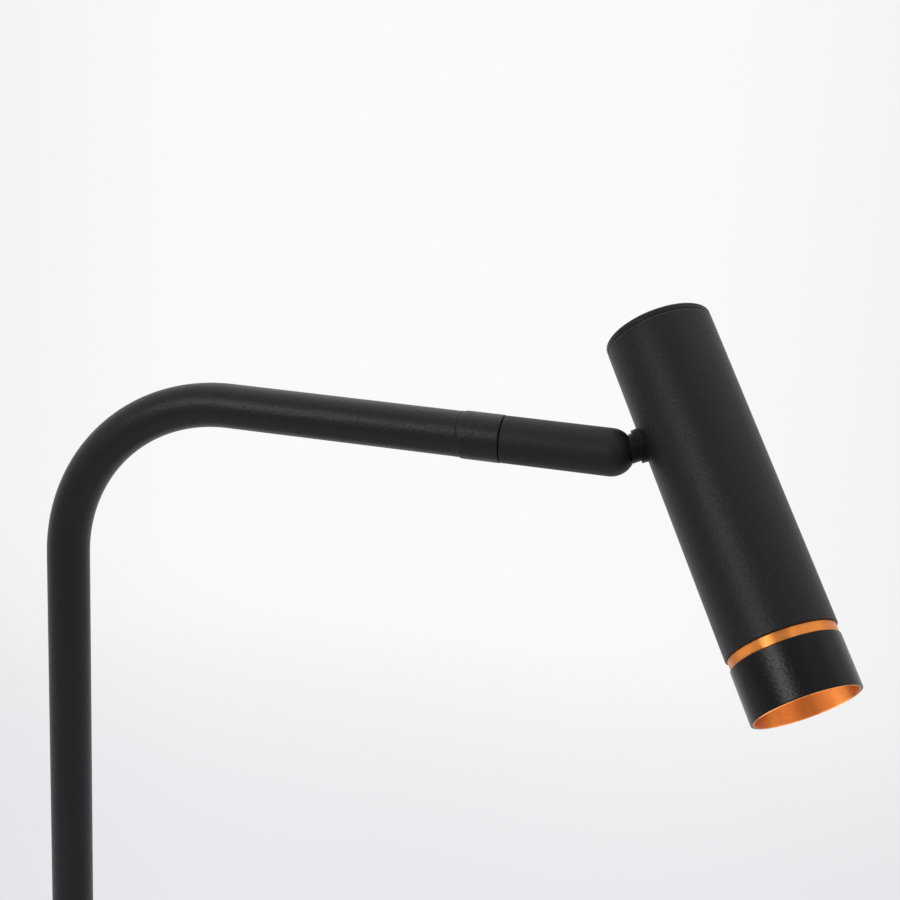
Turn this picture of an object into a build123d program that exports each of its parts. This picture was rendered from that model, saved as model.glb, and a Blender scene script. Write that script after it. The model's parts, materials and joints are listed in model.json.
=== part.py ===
from build123d import *
import os
from math import asin, cos, degrees, radians, sin, sqrt

# Piano lamp: a weighted round foot, one bent steel tube, a swivel at the end of
# the arm, a tilting knuckle and a slim cylindrical LED head.
# Millimetres. The origin is the middle of the foot's underside, +Z is up and
# +X is the way the arm reaches. Each function returns one sub-part in its place.

# ---- foot ----
cover_radius = 85.0
pad_inset = 3.0             # pad edge in from the cover's side
pad_thickness = 1.5
plate_inset = 0.8
plate_thickness = 2.0
cover_height = 16.5
cover_wall = 1.5
cover_edge_radius = 4.0
weight_edge_gap = 0.7
weight_top_gap = 0.2
weight_thickness = 8.8
weight_edge_chamfer = 3.0
boss_radius = 7.0
boss_inset = 23.0           # screw bosses in from the cover's side
boss_angles = (90, 210, 330)
plate_screw_radius = 2.0
plate_screw_length = 10.0

# ---- stem and arm: one bent tube ----
stem_inset = 29.5           # stem axis in from the cover's side
arm_height = 410.0
tube_radius = 10.3
tube_wall = 1.5
bend_radius = 83.5
arm_length = 194.0          # stem axis to the welded end of the tube
foot_flange_radius = 23.0
foot_flange_thickness = 4.0
flange_screw_circle = 16.5
flange_screw_radius = 2.0
flange_screw_angles = (0, 120, 240)
collar_radius = 14.0
collar_height = 7.0
grub_radius = 2.0

# ---- cord inlet and inner lead ----
gland_height = 8.8
gland_bore_radius = 2.6
gland_neck_radius = 4.3
gland_flange_radius = 5.0
gland_flange_thickness = 1.5
gland_sleeve_length = 4.5
lead_radius = 2.0
lead_turn_radius = 12.0
lead_channel_half_width = 6.0

# ---- push-button switch on the foot ----
switch_inset = 40.0
switch_body_radius = 9.3
switch_body_depth = 13.0
switch_cavity_radius = 7.6
switch_floor = 2.0
bezel_radius = 11.2
bezel_thickness = 1.2
bezel_skirt_depth = 3.6
button_radius = 6.6
button_lip_radius = 7.2
button_lip_height = 1.2
button_proud = 1.6
button_clearance = 0.15
button_travel = 1.5
button_stem_radius = 2.2
button_stem_length = 3.6
spring_radius = 4.2
spring_wire_radius = 0.35
spring_turns = 4
switch_nut_radius = 12.5
switch_nut_thickness = 2.5
terminal_size = (0.8, 3.0, 2.6)

# ---- swivel at the end of the arm ----
ferrule_radius = 10.8
ferrule_length = 19.5
ferrule_taper = 2.8
ferrule_spigot_length = 15.0
ferrule_web = 8.0
ferrule_counterbore_radius = 7.3
swivel_gap = 0.5
swivel_washer_thickness = 0.4
swivel_washer_radius = 9.4
spindle_radius = 4.0
spindle_bore_radius = 2.6
spindle_engagement = 11.0
bush_radius = 5.2
bush_flange_radius = 7.0
bush_flange_thickness = 1.0
swivel_spring_thickness = 0.9
swivel_nut_flats = 12.0
swivel_nut_thickness = 4.0
stop_pin_radius = 1.0
stop_pin_circle = 7.5
stop_pin_reach = 2.5
stop_groove_depth = 3.0
stop_groove_clearance = 0.2
swivel_half_range = 160.0

# ---- round-nosed barrel that carries the knuckle ----
barrel_radius = 10.6
barrel_length = 48.0        # face at the swivel gap to the tilt axis
barrel_edge_chamfer = 0.3
slot_width = 8.4            # open on one side, so the head folds that way only
pivot_radius = 2.0
pivot_head_radius = 3.5
pivot_head_height = 2.4
pivot_thread_depth = 4.0
pivot_seat_wall = 2.8
friction_washer_radius = 5.4
friction_washer_thickness = 0.5

# ---- knuckle link between the barrel and the head ----
link_eye_radius = 5.6
link_eye_clearance = 0.6
link_thickness = 7.2
link_stem_radius = 3.6
link_neck_radius = 6.4
link_neck_back = 6.5         # where the neck begins, before its cup is cut
link_flange_radius = 7.6
link_flange_start = 11.0
link_flange_thickness = 1.6
neck_washer_radius = 7.7
link_stud_radius = 4.0
link_stud_offset = 1.7      # stud below the eye's middle
link_stud_inside = 8.0
link_bore_radius = 2.2
saddle_radius = 7.4
saddle_thickness = 2.2
link_nut_flats = 13.0
link_nut_thickness = 4.0

# ---- head ----
head_radius = 24.2
head_wall = 2.2
tube_end_chamfer = 0.35
head_length = 177.9
head_reach = 37.85          # tilt axis to the head's axis
knuckle_below_top = 47.95
cap_thickness = 3.1
cap_seam = 0.25              # shadow gap between the cap and the tube
cap_spigot_length = 6.0
cap_spigot_wall = 3.0
cap_chamfer = 0.5
seal_section_radius = 0.75
groove_width = 4.4          # copper band between the tube and the front ring
front_ring_length = 23.7
front_ring_radius = 23.8
front_ring_wall = 0.9
baffle_band_radius = 23.3
baffle_lip_wall = 0.5
baffle_top_opening_radius = 19.4
baffle_depth_in_tube = 12.7
lens_thickness = 2.5
lens_gasket_thickness = 1.0
lens_gasket_width = 2.2
reflector_height = 22.0
reflector_wall = 1.0
reflector_throat_radius = 7.8
holder_height = 4.6
holder_radius = 20.5
board_radius = 12.0
board_thickness = 1.6
emitter_radius = 6.0
emitter_thickness = 0.6
sink_length = 36.0
sink_base_thickness = 6.0
sink_core_radius = 8.0
sink_fin_count = 16
sink_fin_thickness = 1.6
sink_clearance = 0.1
sink_lead_circle = 15.5
holder_screw_circle = 16.6
holder_screw_radius = 1.5
snap_ring_thickness = 1.2
snap_ring_bite = 0.7
snap_ring_width = 2.4
head_lead_radius = 1.5
head_lead_turn_radius = 8.0

# ---- pose at rest ----
head_tilt = 28.5            # front of the head swung outwards from plumb
head_twist = 34.5           # head swung about the arm, towards the front

# ---- fits ----
face_gap = 0.1              # between faces that lie on each other
slip_fit = 0.05             # radial, for shafts and pressed pieces
screw_fit = 0.02            # radial, screw in its tapped hole
clear_hole = 0.2            # radial, screw or tube through a plain hole

# ---- places worked out from the sizes above ----
pad_radius = cover_radius - pad_inset
plate_radius = cover_radius - plate_inset
boss_circle = cover_radius - boss_inset
stem_x = stem_inset - cover_radius
switch_x = cover_radius - switch_inset
plate_bottom = pad_thickness
cover_bottom = plate_bottom + plate_thickness
cover_top = cover_bottom + cover_height
cover_underside = cover_top - cover_wall
weight_top = cover_underside - weight_top_gap
weight_bottom = weight_top - weight_thickness
weight_radius = cover_radius - cover_wall - weight_edge_gap
flange_top = cover_underside - face_gap
flange_bottom = flange_top - foot_flange_thickness
ferrule_end = stem_x + arm_length + ferrule_length
barrel_start = ferrule_end + swivel_gap
pivot_x = barrel_start + barrel_length
head_bore = head_radius - head_wall
eye_cavity_radius = link_eye_radius + link_eye_clearance
slot_wall = link_stem_radius + face_gap
tube_top = knuckle_below_top - cap_thickness
front_end = knuckle_below_top - head_length
ring_top = front_end + front_ring_length
tube_bottom = ring_top + groove_width
lens_bottom = tube_bottom + baffle_depth_in_tube
lens_top = lens_bottom + lens_thickness
gasket_top = lens_top + lens_gasket_thickness
holder_bottom = gasket_top + reflector_height
sink_bottom = holder_bottom + holder_height
sink_top = sink_bottom + sink_length

swivel_pose = Rot(-head_twist, 0, 0)
head_pose = Pos(pivot_x, 0, arm_height) * swivel_pose * Rot(0, -head_tilt, 0)
head_pose *= Pos(head_reach, 0, -link_stud_offset)


# ---- helpers ----
def disc(radius, low, high, x=0.0, y=0.0):
    """Upright cylinder between two heights."""
    return Pos(x, y, (low + high) / 2) * Cylinder(radius, high - low)


def ring(outer, inner, low, high, x=0.0, y=0.0):
    return disc(outer, low, high, x, y) - disc(inner, low - 1, high + 1, x, y)


def rod_x(radius, start, end, y=0.0, z=0.0):
    """Cylinder along X between two places."""
    return Pos((start + end) / 2, y, z) * Rot(0, 90, 0) * Cylinder(radius, end - start)


def rod_y(radius, start, end, x=0.0, z=0.0):
    return Pos(x, (start + end) / 2, z) * Rot(90, 0, 0) * Cylinder(radius, end - start)


def block(x_low, x_high, y_low, y_high, z_low, z_high):
    middle = Pos((x_low + x_high) / 2, (y_low + y_high) / 2, (z_low + z_high) / 2)
    return middle * Box(x_high - x_low, y_high - y_low, z_high - z_low)


def turned(points):
    """Solid turned about Z from (radius, height) points."""
    return revolve(Plane.XZ * make_face(Polyline(*points, close=True)), Axis.Z)


def hexagon(flats, low, high):
    face = RegularPolygon(flats / 2, 6, major_radius=False)
    return Pos(0, 0, low) * extrude(face, high - low)


def along_x(part):
    """Turn a piece made about Z so that it lies about X, its +Z end towards +X."""
    return Rot(0, 90, 0) * part


def on_circle(radius, angle):
    return radius * cos(radians(angle)), radius * sin(radians(angle))


def countersunk_screw(radius, low, high):
    """Screw with its flat head at the low end and a hexagon socket in it."""
    head_height = radius
    shank = disc(radius, low, high)
    head = Pos(0, 0, low + head_height / 2) * Cone(2 * radius, radius, head_height)
    socket = hexagon(1.4 * radius, low - 1, low + 0.8 * radius)
    return shank + head - socket


def countersunk_hole(radius, low, high):
    """Clearance hole for such a screw whose head lies at the low face."""
    wide = radius + clear_hole
    head = Pos(0, 0, low + radius / 2) * Cone(2 * radius + clear_hole, wide, radius)
    return disc(wide, low - 1, high + 1) + head + disc(2 * radius + clear_hole, low - 1, low)


# ---- foot ----
def base_pad():
    return disc(pad_radius, 0, pad_thickness)


def base_plate():
    plate = disc(plate_radius, plate_bottom, cover_bottom)
    for angle in boss_angles:
        x, y = on_circle(boss_circle, angle)
        plate -= Pos(x, y, 0) * countersunk_hole(plate_screw_radius, plate_bottom, cover_bottom)
    return plate


def plate_screws():
    screws = []
    for angle in boss_angles:
        x, y = on_circle(boss_circle, angle)
        end = plate_bottom + plate_screw_length
        screws.append(Pos(x, y, 0) * countersunk_screw(plate_screw_radius, plate_bottom, end))
    return screws


def base_cover():
    outer = disc(cover_radius, cover_bottom, cover_top)
    outer = fillet(outer.edges().group_by(Axis.Z)[-1], cover_edge_radius)
    inner = disc(cover_radius - cover_wall, cover_bottom - 10, cover_underside)
    inner = fillet(inner.edges().group_by(Axis.Z)[-1], cover_edge_radius - cover_wall)
    cover = outer - inner
    cover -= disc(tube_radius + clear_hole, cover_underside - 1, cover_top + 1, stem_x)
    cover -= disc(switch_body_radius + clear_hole, cover_underside - 1, cover_top + 1, switch_x)
    gland_hole = rod_x(gland_neck_radius + slip_fit, -cover_radius - 1, -cover_radius + 5, z=gland_height)
    return cover - gland_hole


def base_weight():
    """Cast disc with a seat for the stem's flange, screw bosses and a lead channel."""
    weight = disc(weight_radius, weight_bottom, weight_top)
    weight = chamfer(weight.edges().group_by(Axis.Z)[-1], weight_edge_chamfer)
    for angle in boss_angles:
        x, y = on_circle(boss_circle, angle)
        weight += disc(boss_radius, cover_bottom, weight_bottom + 1, x, y)
        hole_top = plate_bottom + plate_screw_length + 1
        weight -= disc(plate_screw_radius + screw_fit, cover_bottom - 1, hole_top, x, y)
    seat_bottom = flange_bottom - face_gap
    weight -= disc(foot_flange_radius + clear_hole, seat_bottom, weight_top + 1, stem_x)
    weight -= disc(tube_radius, weight_bottom - 1, weight_top, stem_x)
    for angle in flange_screw_angles:
        x, y = on_circle(flange_screw_circle, angle)
        weight -= Pos(stem_x + x, y, 0) * countersunk_hole(flange_screw_radius, weight_bottom, seat_bottom)
    channel_top = gland_height + gland_flange_radius + 4 * clear_hole
    half = lead_channel_half_width
    weight -= block(-cover_radius, stem_x, -half, half, weight_bottom - 1, channel_top)
    return weight - disc(switch_nut_radius + 1.5, weight_bottom - 1, weight_top + 1, switch_x)


def flange_screws():
    screws = []
    for angle in flange_screw_angles:
        x, y = on_circle(flange_screw_circle, angle)
        screw = countersunk_screw(flange_screw_radius, weight_bottom, flange_top - 1)
        screws.append(Pos(stem_x + x, y, 0) * screw)
    return screws


def stem_flange():
    """Plate welded round the foot of the tube and screwed down to the weight."""
    flange = ring(foot_flange_radius, tube_radius + slip_fit, flange_bottom, flange_top, stem_x)
    for angle in flange_screw_angles:
        x, y = on_circle(flange_screw_circle, angle)
        flange -= disc(flange_screw_radius + screw_fit, flange_bottom - 1, flange_top - 0.5, stem_x + x, y)
    return flange


def stem_collar():
    """Trim collar that slides down the stem and pins the cover to the foot."""
    top = cover_top + collar_height
    collar = ring(collar_radius, tube_radius + slip_fit, cover_top, top, stem_x)
    outer_edge = collar.edges().group_by(Axis.Z)[-1].sort_by(SortBy.RADIUS)[-1]
    collar = chamfer(outer_edge, 1.0)
    middle = cover_top + collar_height / 2
    return collar - rod_x(grub_radius + screw_fit, stem_x - collar_radius - 1, stem_x - tube_radius, z=middle)


def collar_screw():
    middle = cover_top + collar_height / 2
    outer_end = stem_x - collar_radius + 0.6
    screw = rod_x(grub_radius, outer_end, stem_x - tube_radius - slip_fit, z=middle)
    socket = Pos(outer_end - 1, 0, middle) * along_x(hexagon(grub_radius, 0, 2.2))
    return screw - socket


def cord_gland():
    """Rubber inlet for the supply cord, held by its flanges in the cover's wall."""
    wall_out = -cover_radius
    wall_in = -cover_radius + cover_wall
    outside = rod_x(gland_flange_radius, wall_out - gland_flange_thickness, wall_out, z=gland_height)
    outside = fillet(outside.edges().group_by(Axis.X)[0], 1.0)
    neck = rod_x(gland_neck_radius, wall_out - 0.5, wall_in + 0.5, z=gland_height)
    inside = rod_x(gland_flange_radius, wall_in + 0.15, wall_in + gland_sleeve_length, z=gland_height)
    bore = rod_x(gland_bore_radius, wall_out - 10, wall_in + 20, z=gland_height)
    return outside + neck + inside - bore


def lamp_lead():
    """Inner lead from the gland, up the stem, round the bend and into the barrel."""
    start = -cover_radius + cover_wall + gland_sleeve_length + 0.3
    end = pivot_x - eye_cavity_radius - 1.0
    path = FilletPolyline(
        (start, 0, gland_height),
        (stem_x, 0, gland_height),
        (stem_x, 0, arm_height),
        (end, 0, arm_height),
        radius=[lead_turn_radius, bend_radius],
    )
    return sweep(Plane(origin=path @ 0, z_dir=path % 0) * Circle(lead_radius), path=path)


def stem_tube():
    path = FilletPolyline(
        (stem_x, 0, flange_bottom),
        (stem_x, 0, arm_height),
        (stem_x + arm_length, 0, arm_height),
        radius=bend_radius,
    )
    section = Circle(tube_radius) - Circle(tube_radius - tube_wall)
    return sweep(Plane(origin=path @ 0, z_dir=path % 0) * section, path=path)


# ---- switch ----
body_top = cover_top - face_gap
body_bottom = body_top - switch_body_depth
cavity_floor = body_bottom + switch_floor
bezel_bottom = cover_top - bezel_skirt_depth
button_lip_top = bezel_bottom - face_gap
button_underside = button_lip_top - button_lip_height
button_top = cover_top + bezel_thickness + button_proud


def switch_body():
    body = disc(switch_body_radius, body_bottom, body_top, switch_x)
    body -= disc(switch_cavity_radius, cavity_floor, cover_top + 1, switch_x)
    guide = ring(button_stem_radius + 1.2, button_stem_radius + button_clearance, cavity_floor - 1,
                 button_underside - button_stem_length + 1.0, switch_x)
    return body + guide


def switch_terminals():
    width, depth, drop = terminal_size
    blades = []
    for side in (-1, 1):
        x = switch_x + side * 3.5
        blades.append(block(x - width / 2, x + width / 2, -depth / 2, depth / 2,
                            body_bottom - drop, body_bottom))
    return blades


def switch_bezel():
    flange = disc(bezel_radius, cover_top, cover_top + bezel_thickness, switch_x)
    flange = fillet(flange.edges().group_by(Axis.Z)[-1], 0.6)
    skirt = disc(switch_cavity_radius - slip_fit, bezel_bottom, cover_top + 0.5, switch_x)
    bore = disc(button_radius + button_clearance, bezel_bottom - 1, cover_top + 5, switch_x)
    return flange + skirt - bore


def switch_nut():
    nut_top = cover_underside - face_gap
    nut = Pos(switch_x, 0, 0) * hexagon(2 * switch_nut_radius * cos(radians(30)),
                                        nut_top - switch_nut_thickness, nut_top)
    return nut - disc(switch_body_radius + screw_fit, 0, cover_top, switch_x)


def switch_button():
    head = disc(button_radius, button_underside, button_top, switch_x)
    head = fillet(head.edges().group_by(Axis.Z)[-1], 0.8)
    lip = disc(button_lip_radius, button_underside, button_lip_top, switch_x)
    stem = disc(button_stem_radius, button_underside - button_stem_length, button_underside + 1, switch_x)
    return head + lip + stem


def switch_spring():
    low = cavity_floor + spring_wire_radius + 0.05
    high = button_underside - spring_wire_radius - 0.05
    path = Pos(switch_x, 0, low) * Helix((high - low) / spring_turns, high - low, spring_radius)
    return sweep(Plane(origin=path @ 0, z_dir=path % 0) * Circle(spring_wire_radius), path=path)


# ---- swivel, made about X at the height of the arm, in the part's own frame ----
web_start = ferrule_end - ferrule_web
nut_end = web_start - bush_flange_thickness - swivel_spring_thickness - 2 * slip_fit
nut_start = nut_end - swivel_nut_thickness


def arm_ferrule():
    """Turned end piece: its spigot sits in the tube and its taper is the weld."""
    tube_end = stem_x + arm_length
    web_bore = bush_radius + slip_fit
    spigot = tube_radius - tube_wall - slip_fit
    profile = (
        (web_bore, web_start),
        (ferrule_counterbore_radius, web_start),
        (ferrule_counterbore_radius, tube_end - ferrule_spigot_length),
        (spigot, tube_end - ferrule_spigot_length),
        (spigot, tube_end),
        (tube_radius, tube_end),
        (ferrule_radius, tube_end + ferrule_taper),
        (ferrule_radius, ferrule_end),
        (web_bore, ferrule_end),
    )
    body = turned(profile)
    groove = ring(stop_pin_circle + stop_pin_radius + stop_groove_clearance,
                  stop_pin_circle - stop_pin_radius - stop_groove_clearance,
                  ferrule_end - stop_groove_depth, ferrule_end + 1)
    return Pos(0, 0, arm_height) * along_x(body - (groove - stop_block()))


def stop_block():
    """Wedge left standing in the groove, which the stop pin meets at each limit."""
    pin_half_angle = degrees(asin((stop_pin_radius + stop_groove_clearance) / stop_pin_circle))
    half_angle = 180 - swivel_half_range - pin_half_angle
    reach = 2 * ferrule_radius
    x, y = on_circle(reach, half_angle)
    wedge = make_face(Polyline((0, 0), (x, y), (x, -y), close=True))
    return Pos(0, 0, ferrule_end - stop_groove_depth - 1) * extrude(wedge, stop_groove_depth + 3)


def swivel_bush():
    sleeve = ring(bush_radius, spindle_radius + slip_fit, web_start - 0.5, ferrule_end)
    flange = ring(bush_flange_radius, spindle_radius + slip_fit,
                  web_start - bush_flange_thickness, web_start)
    return Pos(0, 0, arm_height) * along_x(sleeve + flange)


def in_swivel(part):
    """Put a piece that is made about X, at its own X, on the turned swivel."""
    return Pos(0, 0, arm_height) * swivel_pose * part


def swivel_spindle():
    start = nut_start - 1.5
    end = barrel_start + spindle_engagement
    return in_swivel(rod_x(spindle_radius, start, end) - rod_x(spindle_bore_radius, start - 1, end + 1))


def swivel_spring_washer():
    end = web_start - bush_flange_thickness - slip_fit
    washer = ring(bush_flange_radius, spindle_radius + slip_fit, end - swivel_spring_thickness, end)
    return in_swivel(along_x(washer))


def swivel_nut():
    nut = hexagon(swivel_nut_flats, nut_start, nut_end)
    return in_swivel(along_x(nut - disc(spindle_radius + screw_fit, nut_start - 1, nut_end + 1)))


def swivel_washer():
    start = ferrule_end + slip_fit
    washer = ring(swivel_washer_radius, spindle_radius + slip_fit, start, start + swivel_washer_thickness)
    hole = rod_x(stop_pin_radius + slip_fit, start - 1, start + 2, z=stop_pin_circle)
    return in_swivel(along_x(washer) - hole)


def stop_pin():
    start = ferrule_end - stop_pin_reach
    end = barrel_start + 5.0
    return in_swivel(rod_x(stop_pin_radius, start, end, z=stop_pin_circle))


def swivel_barrel():
    """Round-nosed barrel: a slot open upwards and outwards takes the link's eye and stem."""
    body = rod_x(barrel_radius, barrel_start, pivot_x)
    body = chamfer(body.edges().group_by(Axis.X)[0], barrel_edge_chamfer)
    body += Pos(pivot_x, 0, 0) * Sphere(barrel_radius)
    half_slot = slot_width / 2
    reach = 2 * barrel_radius
    body -= block(pivot_x - slot_wall, pivot_x + reach, -half_slot, half_slot, -slot_wall, reach)
    body -= rod_y(eye_cavity_radius, -half_slot, half_slot, x=pivot_x)
    body -= rod_x(spindle_radius + screw_fit, barrel_start - 1, barrel_start + spindle_engagement + 0.3)
    body -= rod_x(spindle_bore_radius + clear_hole, barrel_start, pivot_x - eye_cavity_radius + 1)
    body -= rod_x(stop_pin_radius + screw_fit, barrel_start - 1, barrel_start + 5.2, z=stop_pin_circle)
    seat = half_slot + pivot_seat_wall
    body -= rod_y(pivot_radius + screw_fit, -half_slot - pivot_thread_depth, seat + 1, x=pivot_x)
    body -= rod_y(pivot_head_radius + clear_hole, seat, barrel_radius + 1, x=pivot_x)
    return in_swivel(body)


def pivot_screw():
    half_slot = slot_width / 2
    seat = half_slot + pivot_seat_wall
    shank = rod_y(pivot_radius, -half_slot - pivot_thread_depth + 0.3, seat + 0.5, x=pivot_x)
    head = rod_y(pivot_head_radius, seat, seat + pivot_head_height, x=pivot_x)
    head = chamfer(head.edges().group_by(Axis.Y)[-1], 0.3)
    socket = Rot(-90, 0, 0) * hexagon(3.0, 0, 5)
    return in_swivel(shank + head - Pos(pivot_x, seat + 0.8, 0) * socket)


def friction_washers():
    inner_face = link_thickness / 2 + slip_fit
    washers = []
    for side in (-1, 1):
        low = min(side * inner_face, side * (inner_face + friction_washer_thickness))
        high = low + friction_washer_thickness
        washer = rod_y(friction_washer_radius, low, high, x=pivot_x)
        washer -= rod_y(pivot_radius + slip_fit, low - 1, high + 1, x=pivot_x)
        washers.append(in_swivel(washer))
    return washers


# ---- head, made about its own axis with the knuckle at height 0 and the front down ----
def in_head(part):
    return head_pose * part


def knuckle_link():
    """Flat eye and round stem in the slot, a neck cupped to the dome, flange and hollow stud."""
    axis_x = -head_reach
    axis_z = link_stud_offset
    half = link_thickness / 2
    eye = rod_y(link_eye_radius, -half, half, x=axis_x, z=axis_z)
    flange_start = axis_x + link_flange_start
    stem = rod_x(link_stem_radius, axis_x, flange_start, z=axis_z)
    neck = rod_x(link_neck_radius, axis_x + link_neck_back, flange_start + 0.5)
    neck -= Pos(axis_x, 0, axis_z) * Sphere(barrel_radius + slip_fit + face_gap)
    flange = rod_x(link_flange_radius, flange_start, flange_start + link_flange_thickness)
    flange = fillet(flange.edges().group_by(Axis.X)[0], 0.4)
    stud_end = -head_bore + link_stud_inside
    stud = rod_x(link_stud_radius, flange_start + 0.5, stud_end)
    link = eye + stem + neck + flange + stud
    link -= rod_x(link_bore_radius, axis_x + link_flange_start - 1, stud_end + 1)
    return in_head(link - rod_y(pivot_radius + slip_fit, -10, 10, x=axis_x, z=axis_z))


def neck_washer():
    """Washer outside the head: flat on the link's flange, curved on the tube."""
    start = -head_reach + link_flange_start + link_flange_thickness + slip_fit
    washer = rod_x(neck_washer_radius, start, -head_radius + neck_washer_radius / 2)
    washer -= disc(head_radius + slip_fit, -head_length, head_length)
    return in_head(washer - rod_x(link_stud_radius + slip_fit, start - 1, -head_radius + 5))


def knuckle_saddle():
    """Washer inside the head, curved to the tube on one side and flat on the other."""
    flat = -head_bore + saddle_thickness
    saddle = rod_x(saddle_radius, -head_radius, flat)
    saddle = saddle & disc(head_bore - face_gap, -head_length, head_length)
    return in_head(saddle - rod_x(link_stud_radius + slip_fit, -head_radius - 1, flat + 1))


def knuckle_nut():
    start = -head_bore + saddle_thickness + face_gap
    nut = hexagon(link_nut_flats, start, start + link_nut_thickness)
    nut -= disc(link_stud_radius + screw_fit, start - 1, start + link_nut_thickness + 1)
    return in_head(along_x(nut))


def head_tube():
    tube = disc(head_radius, tube_bottom, tube_top)
    tube = chamfer(tube.edges().group_by(Axis.Z)[0], tube_end_chamfer)
    tube = chamfer(tube.edges().group_by(Axis.Z)[-1], tube_end_chamfer)
    tube -= disc(head_bore, tube_bottom - 1, tube_top + 1)
    tube -= rod_x(link_stud_radius + slip_fit, -head_radius - 1, 0)
    groove_low = sink_top + slip_fit
    groove = disc(head_bore + snap_ring_bite + 0.1, groove_low, groove_low + snap_ring_thickness + 0.1)
    return in_head(tube - groove)


def head_cap():
    """Top cap whose spigot carries a seal ring and slides into the tube."""
    spigot = head_bore - slip_fit
    seal_middle = tube_top - cap_spigot_length / 2
    half_groove = seal_section_radius + 0.1
    groove_floor = head_bore - 2 * seal_section_radius - 0.1
    profile = (
        (0, tube_top + 0.5),
        (spigot - cap_spigot_wall, tube_top + 0.5),
        (spigot - cap_spigot_wall, tube_top - cap_spigot_length),
        (spigot, tube_top - cap_spigot_length),
        (spigot, seal_middle - half_groove),
        (groove_floor, seal_middle - half_groove),
        (groove_floor, seal_middle + half_groove),
        (spigot, seal_middle + half_groove),
        (spigot, tube_top + cap_seam),
        (head_radius, tube_top + cap_seam),
        (head_radius, knuckle_below_top - cap_chamfer),
        (head_radius - cap_chamfer, knuckle_below_top),
        (0, knuckle_below_top),
    )
    return in_head(turned(profile))


def cap_seal():
    middle = tube_top - cap_spigot_length / 2
    circle = head_bore - seal_section_radius - 0.05
    return in_head(Pos(0, 0, middle) * Torus(circle, seal_section_radius))


def snap_ring():
    """Open ring sprung into the tube; the heat sink stops against it."""
    low = sink_top + 2 * slip_fit
    outer = head_bore + snap_ring_bite
    body = ring(outer, outer - snap_ring_width - snap_ring_bite, low, low + snap_ring_thickness)
    gap = block(0, outer + 5, -4, 4, low - 1, low + snap_ring_thickness + 1)
    body -= gap
    lug_x = outer - snap_ring_width - 1.4
    for side in (-1, 1):
        lug = disc(2.0, low, low + snap_ring_thickness, lug_x, side * 5.6)
        body += lug
    for side in (-1, 1):
        body -= disc(0.8, low - 1, low + snap_ring_thickness + 1, lug_x, side * 5.6)
    return in_head(body)


def heat_sink():
    """Round base with a core and radial fins, with a way through for the lead."""
    outer = head_bore - sink_clearance
    fins_bottom = sink_bottom + sink_base_thickness
    sink = disc(outer, sink_bottom, fins_bottom) + disc(sink_core_radius, fins_bottom - 1, sink_top)
    pitch = 360 / sink_fin_count
    for number in range(sink_fin_count):
        fin = block(sink_core_radius - 1, outer, -sink_fin_thickness / 2, sink_fin_thickness / 2,
                    fins_bottom - 1, sink_top)
        sink += Rot(0, 0, (number + 0.5) * pitch) * fin
    sink = sink & disc(outer, sink_bottom, sink_top)
    sink -= disc(head_lead_radius + clear_hole, sink_bottom - 1, fins_bottom + 1, sink_lead_circle)
    for side in (-1, 1):
        sink -= disc(holder_screw_radius + screw_fit, sink_bottom - 1, fins_bottom - 1,
                     0, side * holder_screw_circle)
    return in_head(sink)


def led_board():
    return in_head(disc(board_radius, sink_bottom - board_thickness, sink_bottom))


def led_emitter():
    face = sink_bottom - board_thickness
    dome = disc(emitter_radius, face - emitter_thickness, face)
    return in_head(fillet(dome.edges().group_by(Axis.Z)[0], 0.3))


def led_holder():
    """Moulded ring that clamps the board and seats the reflector's throat."""
    pocket = sink_bottom - board_thickness - slip_fit
    holder = disc(holder_radius, holder_bottom, sink_bottom - slip_fit)
    holder -= disc(board_radius + clear_hole, pocket, sink_bottom + 1)
    holder -= disc(reflector_throat_radius, holder_bottom - 1, sink_bottom + 1)
    for side in (-1, 1):
        y = side * holder_screw_circle
        holder -= disc(holder_screw_radius + clear_hole, holder_bottom - 1, sink_bottom + 1, 0, y)
        holder -= disc(2 * holder_screw_radius + clear_hole, holder_bottom - 1, holder_bottom + 1.8, 0, y)
    return in_head(holder)


def holder_screws():
    screws = []
    for side in (-1, 1):
        head_low = holder_bottom + 0.2
        seat = holder_bottom + 1.8
        screw = disc(2 * holder_screw_radius, head_low, seat) + disc(holder_screw_radius, seat - 0.5, sink_bottom + 4)
        cross = block(-2, 2, -0.35, 0.35, head_low - 1, head_low + 0.8)
        cross += block(-0.35, 0.35, -2, 2, head_low - 1, head_low + 0.8)
        screws.append(in_head(Pos(0, side * holder_screw_circle, 0) * (screw - cross)))
    return screws


def reflector():
    """Thin flared cup from the emitter to the lens, with a seat flange."""
    top = holder_bottom - slip_fit
    bottom = gasket_top + slip_fit
    height = top - bottom
    wide = head_bore - lens_gasket_width - 0.6
    inner = Spline((reflector_throat_radius, top), (wide * 0.72, top - height * 0.42), (wide, bottom))
    outside = Spline((wide + reflector_wall, bottom + reflector_wall),
                     (wide * 0.72 + reflector_wall, top - height * 0.42 + 0.4),
                     (reflector_throat_radius + reflector_wall, top))
    rim = Polyline((wide, bottom), (head_bore - 0.3, bottom), (head_bore - 0.3, bottom + reflector_wall),
                   (wide + reflector_wall, bottom + reflector_wall))
    throat = Line((reflector_throat_radius + reflector_wall, top), (reflector_throat_radius, top))
    return in_head(revolve(Plane.XZ * make_face([inner, rim, outside, throat]), Axis.Z))


def lens_gasket():
    outer = head_bore - clear_hole
    return in_head(ring(outer, outer - lens_gasket_width, lens_top, gasket_top))


def front_lens():
    lens = disc(head_bore - clear_hole, lens_bottom, lens_top)
    return in_head(chamfer(lens.edges(), 0.3))


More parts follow.
